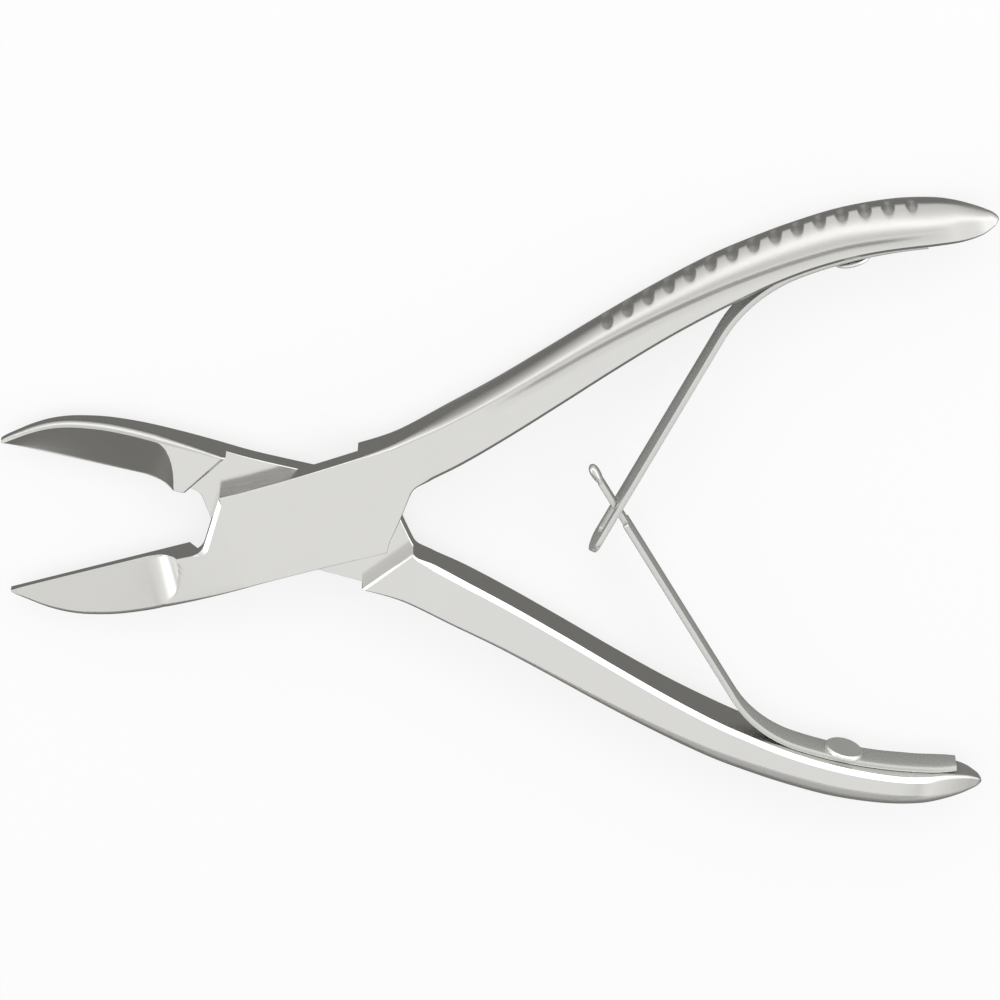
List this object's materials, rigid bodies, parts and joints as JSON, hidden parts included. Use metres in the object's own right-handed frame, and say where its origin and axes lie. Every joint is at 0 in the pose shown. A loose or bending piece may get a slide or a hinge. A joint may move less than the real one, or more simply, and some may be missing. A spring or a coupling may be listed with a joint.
{
  "type": "bone cutting forceps",
  "caption": "Bone cutting forceps with straight hollow-ground jaws, a lap joint, bowed grooved handles and a double leaf spring that opens them.",
  "frame": {"origin": "on the pivot axis in the back face of the lap joint, at the flush head of the pivot screw", "axes": "+X from the pivot towards the handles along the line midway between them, +Y towards the front half's handle, +Z out of the front face along the pivot axis"},
  "size_m": [0.1305, 0.0888, 0.008],
  "materials": {
    "satin_steel": "satin stainless steel",
    "spring_steel": "polished spring strip",
    "polished_steel": "polished screw heads"
  },
  "bodies": {
    "back_half": {"back_half": "satin_steel", "lower_spring_screw": "polished_steel"},
    "front_half": {"front_half": "satin_steel", "pivot_screw": "polished_steel", "upper_spring_screw": "polished_steel"},
    "upper_spring": {"upper_spring": "spring_steel"},
    "lower_spring": {"lower_spring": "spring_steel"}
  },
  "joints": [
    {"name": "handles_close", "type": "hinge", "parent": "back_half", "child": "front_half", "pos_m": [0, 0, 0.0025], "axis": [0, 0, -1], "range_deg": [0, 29.25], "stiffness_Nm_per_rad": 1},
    {"name": "upper_spring_bends", "type": "hinge", "parent": "front_half", "child": "upper_spring", "pos_m": [0.05695, 0.03163, 0.0025], "axis": [0, 0, -1], "range_deg": [0, 20.52], "deforming": ["upper_spring"]},
    {"name": "lower_spring_bends", "type": "hinge", "parent": "back_half", "child": "lower_spring", "pos_m": [0.05799, -0.03227, 0.0025], "axis": [0, 0, 1], "range_deg": [0, 20.52], "deforming": ["lower_spring"]}
  ],
  "couplings": [
    {"joint": "upper_spring_bends", "follows": "handles_close", "ratio": 0.7},
    {"joint": "lower_spring_bends", "follows": "handles_close", "ratio": 0.7}
  ]
}
